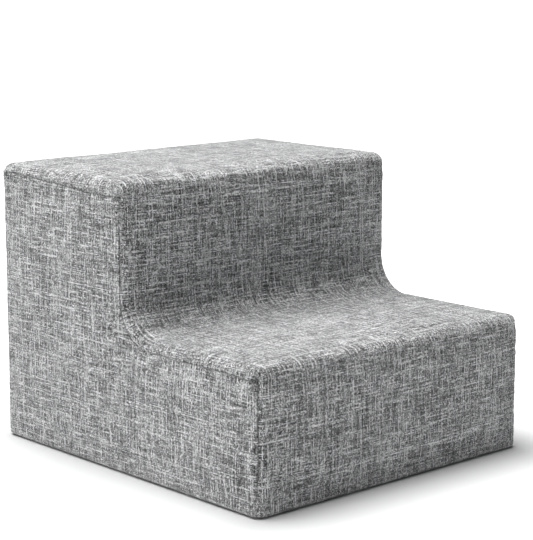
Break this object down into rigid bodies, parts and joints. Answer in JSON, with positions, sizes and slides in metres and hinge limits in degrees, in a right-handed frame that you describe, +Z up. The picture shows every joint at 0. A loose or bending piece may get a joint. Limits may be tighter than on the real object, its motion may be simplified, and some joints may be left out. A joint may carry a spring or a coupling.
{
  "type": "pet stair",
  "caption": "Foam pet stair with a low and a high tread, in a sewn woven cover that comes off through a zip low on the back and stands on a base cloth with grip dots.",
  "frame": {"origin": "on the floor, at the centre of the footprint of the cover", "axes": "+X across the width, to the right of a pet that walks up; +Y from the front face to the back; +Z up"},
  "size_m": [0.381, 0.4249, 0.305],
  "materials": {
    "cover_cloth": "heathered plain-weave polyester linen look, light and dark grey slub yarns",
    "base_cloth": "knitted polyester base cloth with printed rubbery grip dots",
    "foam": "open-cell polyurethane foam",
    "adhesive": "dried contact adhesive",
    "sewing_thread": "spun polyester thread",
    "zip_tape": "woven polyester tape",
    "zip_coil": "nylon coil",
    "zip_metal": "grey enamelled zinc"
  },
  "bodies": {
    "stair": {"foam_base_block": "foam", "foam_step_block": "foam", "foam_bond_film": "adhesive", "cover_side_left": "cover_cloth", "cover_side_right": "cover_cloth", "cover_tread_strip": "cover_cloth", "cover_back_panel": "cover_cloth", "cover_back_hem": "cover_cloth", "cover_base_panel": "base_cloth", "seam_thread_left": "sewing_thread", "seam_thread_right": "sewing_thread", "seam_thread_back": "sewing_thread", "seam_thread_base": "sewing_thread", "zip_tape_upper": "zip_tape", "zip_tape_lower": "zip_tape", "zip_coil_upper": "zip_coil", "zip_coil_lower": "zip_coil", "zip_stitches_upper": "sewing_thread", "zip_stitches_lower": "sewing_thread", "zip_end_tacks": "sewing_thread"},
    "slider": {"zip_slider": "zip_metal"},
    "pull_tab": {"zip_pull_tab": "zip_metal"}
  },
  "joints": [
    {"name": "slider_travel", "type": "slide", "parent": "stair", "child": "slider", "axis": [-1, 0, 0], "range_m": [0, 0.307]},
    {"name": "tab_flip", "type": "hinge", "parent": "slider", "child": "pull_tab", "pos_m": [0.1535, 0.213, 0.045], "axis": [0, 0, -1], "range_deg": [0, 180]}
  ]
}
